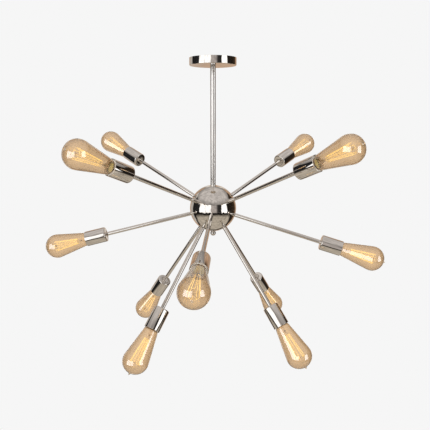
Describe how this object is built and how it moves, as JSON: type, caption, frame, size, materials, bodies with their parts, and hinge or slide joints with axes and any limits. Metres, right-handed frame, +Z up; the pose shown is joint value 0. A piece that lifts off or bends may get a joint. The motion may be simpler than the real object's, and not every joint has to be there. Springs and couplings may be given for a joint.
{
  "type": "sputnik chandelier",
  "caption": "Ceiling light: a shallow round canopy, a straight stem and a polished ball whose straight arms, in three tiers, end in cylindrical cups with amber pear-shaped lamps.",
  "frame": {"origin": "middle of the mounting strap's top face, in the plane of the ceiling, midway between its two slots", "axes": "+Z up into the ceiling along the stem, +X along the strap's line of slots, -Y to the front of the picture"},
  "size_m": [0.9078, 0.9234, 0.7713],
  "materials": {
    "polished_nickel": "polished nickel plate on steel",
    "zinc_plated_steel": "bright zinc plate",
    "green_screw": "green earth screw",
    "porcelain": "white glazed porcelain, opaque",
    "socket_brass": "rolled brass sheet",
    "contact_bronze": "spring bronze",
    "cap_brass": "rolled brass lamp cap",
    "amber_glass": "clear amber-tinted blown glass",
    "strand": "yellow strands on a clear glass stem",
    "lead_insulation": "PVC insulation",
    "splice_tape": "PVC tape"
  },
  "bodies": {
    "fixture": {"mounting_strap": "zinc_plated_steel", "earth_screw": "green_screw", "ceiling_nipple": "zinc_plated_steel", "nipple_nuts": "zinc_plated_steel", "canopy": "polished_nickel", "stem": "polished_nickel", "ball_upper_half": "polished_nickel", "ball_lower_half": "polished_nickel", "tie_tube": "zinc_plated_steel", "tie_tube_nut": "zinc_plated_steel", "finial": "polished_nickel", "taped_splices": "splice_tape", "stem_leads": "lead_insulation", "upper_arms": "polished_nickel", "middle_arms": "polished_nickel", "lower_arms": "polished_nickel", "arm_nuts": "zinc_plated_steel", "arm_leads": "lead_insulation", "socket_cups": "polished_nickel", "holder_brackets": "zinc_plated_steel", "holder_screws": "zinc_plated_steel", "holder_bodies": "porcelain", "screw_shells": "socket_brass", "centre_contacts": "contact_bronze"},
    "lamp_upper_1": {"lamp_glass_upper_1": "amber_glass", "lamp_cap_upper_1": "cap_brass", "lamp_mount_upper_1": "strand"},
    "lamp_upper_2": {"lamp_glass_upper_2": "amber_glass", "lamp_cap_upper_2": "cap_brass", "lamp_mount_upper_2": "strand"},
    "lamp_upper_3": {"lamp_glass_upper_3": "amber_glass", "lamp_cap_upper_3": "cap_brass", "lamp_mount_upper_3": "strand"},
    "lamp_upper_4": {"lamp_glass_upper_4": "amber_glass", "lamp_cap_upper_4": "cap_brass", "lamp_mount_upper_4": "strand"},
    "lamp_middle_1": {"lamp_glass_middle_1": "amber_glass", "lamp_cap_middle_1": "cap_brass", "lamp_mount_middle_1": "strand"},
    "lamp_middle_2": {"lamp_glass_middle_2": "amber_glass", "lamp_cap_middle_2": "cap_brass", "lamp_mount_middle_2": "strand"},
    "lamp_middle_3": {"lamp_glass_middle_3": "amber_glass", "lamp_cap_middle_3": "cap_brass", "lamp_mount_middle_3": "strand"},
    "lamp_middle_4": {"lamp_glass_middle_4": "amber_glass", "lamp_cap_middle_4": "cap_brass", "lamp_mount_middle_4": "strand"},
    "lamp_lower_1": {"lamp_glass_lower_1": "amber_glass", "lamp_cap_lower_1": "cap_brass", "lamp_mount_lower_1": "strand"},
    "lamp_lower_2": {"lamp_glass_lower_2": "amber_glass", "lamp_cap_lower_2": "cap_brass", "lamp_mount_lower_2": "strand"},
    "lamp_lower_3": {"lamp_glass_lower_3": "amber_glass", "lamp_cap_lower_3": "cap_brass", "lamp_mount_lower_3": "strand"},
    "lamp_lower_4": {"lamp_glass_lower_4": "amber_glass", "lamp_cap_lower_4": "cap_brass", "lamp_mount_lower_4": "strand"}
  },
  "joints": [
    {"name": "unscrew_upper_1", "type": "slide", "parent": "fixture", "child": "lamp_upper_1", "axis": [-0.6182, -0.6866, 0.3827], "range_m": [0, 0.032]},
    {"name": "unscrew_upper_2", "type": "slide", "parent": "fixture", "child": "lamp_upper_2", "axis": [-0.7345, 0.5636, 0.3778], "range_m": [0, 0.032]},
    {"name": "unscrew_upper_3", "type": "slide", "parent": "fixture", "child": "lamp_upper_3", "axis": [0.6716, 0.6485, 0.3584], "range_m": [0, 0.032]},
    {"name": "unscrew_upper_4", "type": "slide", "parent": "fixture", "child": "lamp_upper_4", "axis": [0.6413, -0.6526, 0.4035], "range_m": [0, 0.032]},
    {"name": "unscrew_middle_1", "type": "slide", "parent": "fixture", "child": "lamp_middle_1", "axis": [-0.0773, -0.9818, -0.1736], "range_m": [0, 0.032]},
    {"name": "unscrew_middle_2", "type": "slide", "parent": "fixture", "child": "lamp_middle_2", "axis": [-0.971, -0.0169, -0.2385], "range_m": [0, 0.032]},
    {"name": "unscrew_middle_3", "type": "slide", "parent": "fixture", "child": "lamp_middle_3", "axis": [0, 0.9703, -0.2419], "range_m": [0, 0.032]},
    {"name": "unscrew_middle_4", "type": "slide", "parent": "fixture", "child": "lamp_middle_4", "axis": [0.9481, -0.1587, -0.2756], "range_m": [0, 0.032]},
    {"name": "unscrew_lower_1", "type": "slide", "parent": "fixture", "child": "lamp_lower_1", "axis": [-0.4217, -0.5026, -0.7547], "range_m": [0, 0.032]},
    {"name": "unscrew_lower_2", "type": "slide", "parent": "fixture", "child": "lamp_lower_2", "axis": [-0.4895, 0.3428, -0.8018], "range_m": [0, 0.032]},
    {"name": "unscrew_lower_3", "type": "slide", "parent": "fixture", "child": "lamp_lower_3", "axis": [0.4365, 0.4143, -0.7986], "range_m": [0, 0.032]},
    {"name": "unscrew_lower_4", "type": "slide", "parent": "fixture", "child": "lamp_lower_4", "axis": [0.4826, -0.4346, -0.7604], "range_m": [0, 0.032]}
  ]
}
